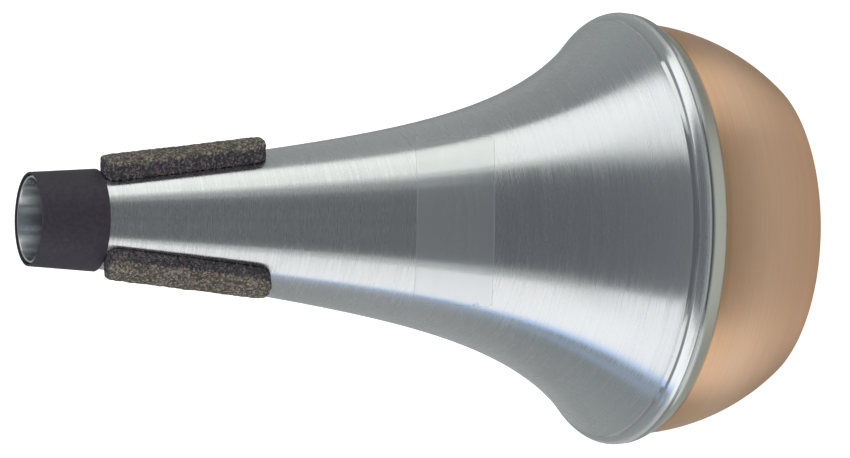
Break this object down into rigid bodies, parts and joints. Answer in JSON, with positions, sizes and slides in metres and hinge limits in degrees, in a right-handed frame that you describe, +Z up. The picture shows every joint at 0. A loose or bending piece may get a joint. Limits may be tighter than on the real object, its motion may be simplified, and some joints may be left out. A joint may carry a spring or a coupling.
{
  "type": "trombone straight mute",
  "caption": "Spun aluminium horn closed by a crimped spun copper base, with a black rubber throat sleeve and dark cork pads that wedge it into a trombone bell.",
  "frame": {"origin": "centre of the flat copper base, on the plane that the mute stands on", "axes": "+Z runs up the mute's axis from the base to the open throat; +Y points from the axis to the middle of cork_pad_1; +X completes the right-handed frame"},
  "size_m": [0.13, 0.13, 0.2295],
  "materials": {
    "spun_aluminium": "spun and brushed round the axis, satin",
    "spun_copper": "spun copper, satin",
    "black_rubber": "matte",
    "dark_cork": "dark rubber-bonded cork granules, matte"
  },
  "bodies": {
    "root": {"body_shell": "spun_aluminium", "base_cap": "spun_copper", "throat_sleeve": "black_rubber", "cork_pad_1": "dark_cork", "cork_pad_2": "dark_cork", "cork_pad_3": "dark_cork"}
  },
  "joints": []
}
